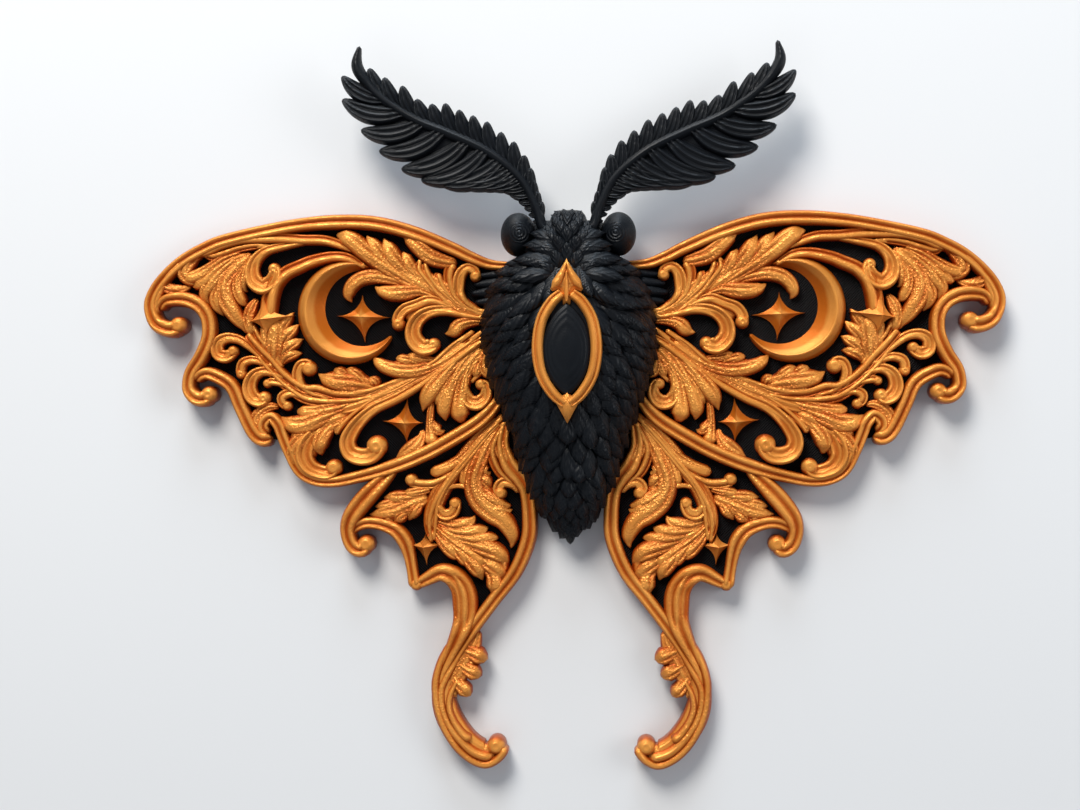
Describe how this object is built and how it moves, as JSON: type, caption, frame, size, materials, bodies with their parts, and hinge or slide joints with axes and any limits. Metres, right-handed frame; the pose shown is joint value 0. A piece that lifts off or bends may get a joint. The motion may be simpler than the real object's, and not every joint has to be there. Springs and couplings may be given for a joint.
{
  "type": "moth ornament",
  "caption": "Printed moth ornament with a flat back: black wings, scaly body and feathered feelers under raised orange scrollwork with crescents, stars and a pointed oval cameo.",
  "frame": {"origin": "centre of the bounding box in X and Y, on the plane of the flat back", "axes": "+Z out of the front of the ornament towards the viewer, +Y towards the head and feelers, +X to the right as seen from the front"},
  "size_m": [0.2202, 0.1852, 0.0224],
  "materials": {
    "black_plastic": "matte black filament with fine layer lines",
    "orange_silk_plastic": "silk orange filament with a coppery sheen"
  },
  "bodies": {
    "root": {"abdomen": "black_plastic", "antenna_left": "black_plastic", "antenna_right": "black_plastic", "cameo_frame": "orange_silk_plastic", "cameo_stone": "black_plastic", "crescent_left": "orange_silk_plastic", "crescent_right": "orange_silk_plastic", "eye_left": "black_plastic", "eye_right": "black_plastic", "forewing_filigree_left": "orange_silk_plastic", "forewing_filigree_right": "orange_silk_plastic", "forewing_plate_left": "black_plastic", "forewing_plate_right": "black_plastic", "head": "black_plastic", "hindwing_filigree_left": "orange_silk_plastic", "hindwing_filigree_right": "orange_silk_plastic", "hindwing_plate_left": "black_plastic", "hindwing_plate_right": "black_plastic", "shoulder_scales_left": "black_plastic", "shoulder_scales_right": "black_plastic", "star_inner_left": "orange_silk_plastic", "star_inner_right": "orange_silk_plastic", "star_lower_left": "orange_silk_plastic", "star_lower_right": "orange_silk_plastic", "thorax": "black_plastic"}
  },
  "joints": []
}
